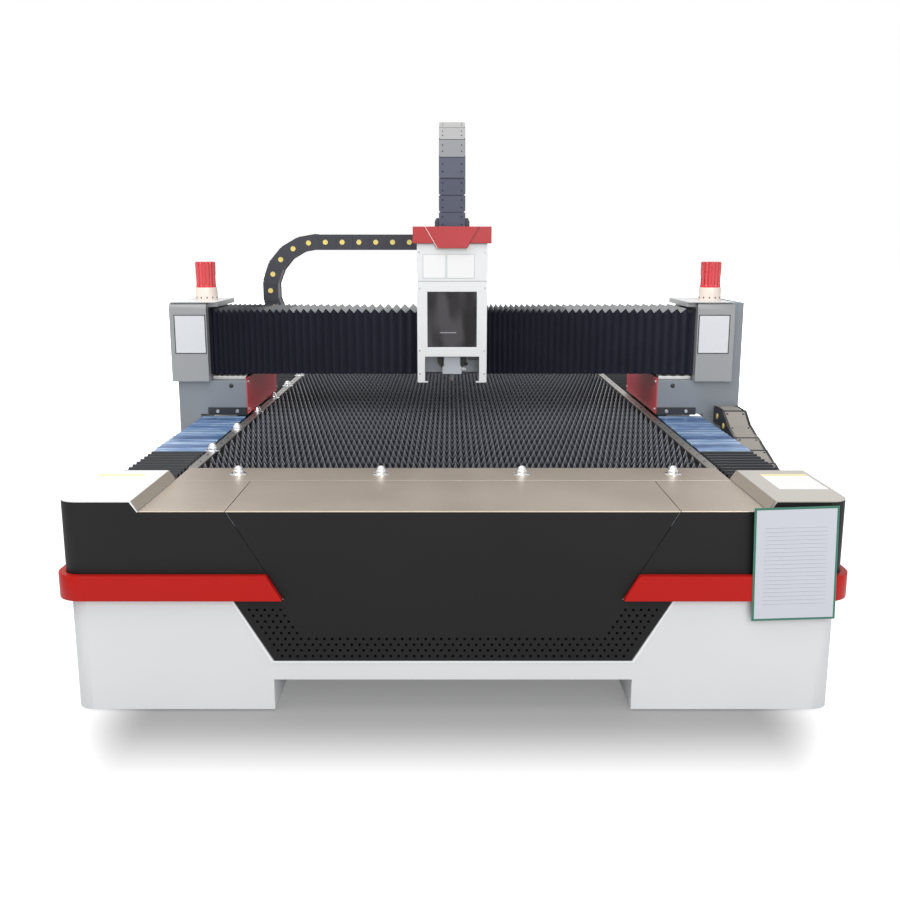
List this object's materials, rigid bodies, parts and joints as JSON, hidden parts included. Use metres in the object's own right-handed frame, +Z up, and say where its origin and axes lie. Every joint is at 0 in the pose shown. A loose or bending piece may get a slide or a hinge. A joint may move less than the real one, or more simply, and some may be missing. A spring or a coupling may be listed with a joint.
{
  "type": "fiber laser cutting machine",
  "caption": "Flatbed laser cutter with a saw-tooth slat bed, a travelling gantry behind bellows, a lifting cutting head and cable chains.",
  "frame": {"origin": "centre of the machine's footprint, on the floor", "axes": "+X to the operator's right at the front, +Y from the front cabinet to the back, +Z up"},
  "size_m": [2.303, 4.68, 1.719],
  "materials": {
    "bed_steel": "satin paint",
    "foot_steel": "turned",
    "skirt_white": "powder coat",
    "cover_black": "satin powder coat",
    "stripe_red": "satin powder coat",
    "pad_white": "powder coat",
    "plate_steel": "brushed",
    "slat_steel": "cut edges",
    "rail_steel": "ground",
    "ball_steel": "polished",
    "bellows_black": "coated fabric",
    "lamella_film": "protective film",
    "gantry_grey": "powder coat",
    "guard_red": "powder coat",
    "bracket_black": "satin paint",
    "beacon_cream": "moulded",
    "beacon_red": "moulded lens",
    "motor_black": "paint",
    "head_white": "powder coat",
    "cap_red": "moulded",
    "smoke_window": "tinted",
    "alloy": "machined",
    "copper": "turned",
    "chain_grey": "moulded"
  },
  "bodies": {
    "bed": {"side_beams": "bed_steel", "cross_members": "bed_steel", "bed_legs": "bed_steel", "levelling_feet": "foot_steel", "front_frame": "bed_steel", "front_skirt": "skirt_white", "front_covers": "cover_black", "corner_pads": "pad_white", "centre_panel": "cover_black", "table_plates": "plate_steel", "front_apron": "plate_steel", "red_stripes": "stripe_red", "slat_rails": "rail_steel", "saw_slats": "slat_steel", "ball_units": "ball_steel", "y_guideways": "rail_steel", "front_bellows": "bellows_black", "lamella_covers": "lamella_film", "rear_bellows": "bellows_black", "slag_trays": "bed_steel", "side_covers": "skirt_white", "rear_cover": "skirt_white", "rear_deck": "plate_steel", "exhaust_spigot": "bed_steel", "y_chain_trough": "gantry_grey", "y_chain_lower": "chain_grey"},
    "gantry": {"saddle_left": "gantry_grey", "saddle_right": "gantry_grey", "saddle_guards": "guard_red", "wiper_brackets": "bracket_black", "beam": "gantry_grey", "end_box_left": "gantry_grey", "end_box_right": "gantry_grey", "x_guideways": "rail_steel", "beacon_bases": "beacon_cream", "beacon_lenses": "beacon_red", "y_runners": "rail_steel", "y_drives": "motor_black", "x_bellows": "bellows_black", "x_chain_tray": "gantry_grey", "x_chain_lower": "chain_grey", "y_chain_upper": "chain_grey"},
    "head": {"carriage_plate": "alloy", "x_runners": "rail_steel", "head_cover": "head_white", "head_cap": "cap_red", "head_window": "smoke_window", "chain_arm": "gantry_grey", "x_chain_upper": "chain_grey", "z_chain": "chain_grey", "x_drive": "motor_black", "z_module": "alloy"},
    "cutting_head": {"z_slide": "alloy", "cutting_head": "alloy", "nozzle": "copper"},
    "y_chain_bend": {"y_chain_bend": "chain_grey"},
    "x_chain_bend": {"x_chain_bend": "chain_grey"},
    "y_pinion_left": {"y_pinion_left": "rail_steel"},
    "y_pinion_right": {"y_pinion_right": "rail_steel"},
    "x_pinion": {"x_pinion": "rail_steel"}
  },
  "joints": [
    {"name": "gantry_slide", "type": "slide", "parent": "bed", "child": "gantry", "axis": [0, 1, 0], "range_m": [-0.87, 2.14], "deforming": ["front_bellows", "lamella_covers", "rear_bellows", "y_chain_upper", "y_chain_lower"]},
    {"name": "head_slide", "type": "slide", "parent": "gantry", "child": "head", "axis": [1, 0, 0], "range_m": [-0.75, 0.75], "deforming": ["x_bellows", "x_chain_upper", "x_chain_lower"]},
    {"name": "head_lift", "type": "slide", "parent": "head", "child": "cutting_head", "axis": [0, 0, 1], "range_m": [-0.14, 0.02], "deforming": ["z_chain"]},
    {"name": "y_chain_roll", "type": "slide", "parent": "bed", "child": "y_chain_bend", "axis": [0, 1, 0], "range_m": [-0.44, 1.08]},
    {"name": "x_chain_roll", "type": "slide", "parent": "gantry", "child": "x_chain_bend", "axis": [1, 0, 0], "range_m": [-0.38, 0.38]},
    {"name": "y_pinion_left_spin", "type": "hinge", "parent": "gantry", "child": "y_pinion_left", "pos_m": [-1.0403, -0.205, 0.5], "axis": [0, 0, 1], "range_deg": [-4092.1, 1666.6]},
    {"name": "y_pinion_right_spin", "type": "hinge", "parent": "gantry", "child": "y_pinion_right", "pos_m": [1.0403, -0.205, 0.5], "axis": [0, 0, 1], "range_deg": [-1666.6, 4092.1]},
    {"name": "x_pinion_spin", "type": "hinge", "parent": "head", "child": "x_pinion", "pos_m": [0.092, -0.74, 0.8423], "axis": [0, 1, 0], "range_deg": [-2153.6, 2153.6]}
  ],
  "couplings": [
    {"joint": "y_chain_roll", "follows": "gantry_slide", "ratio": 0.5},
    {"joint": "x_chain_roll", "follows": "head_slide", "ratio": 0.5},
    {"joint": "y_pinion_left_spin", "follows": "gantry_slide", "rad_per_m": -33.333},
    {"joint": "y_pinion_right_spin", "follows": "gantry_slide", "rad_per_m": 33.333},
    {"joint": "x_pinion_spin", "follows": "head_slide", "rad_per_m": 50}
  ]
}
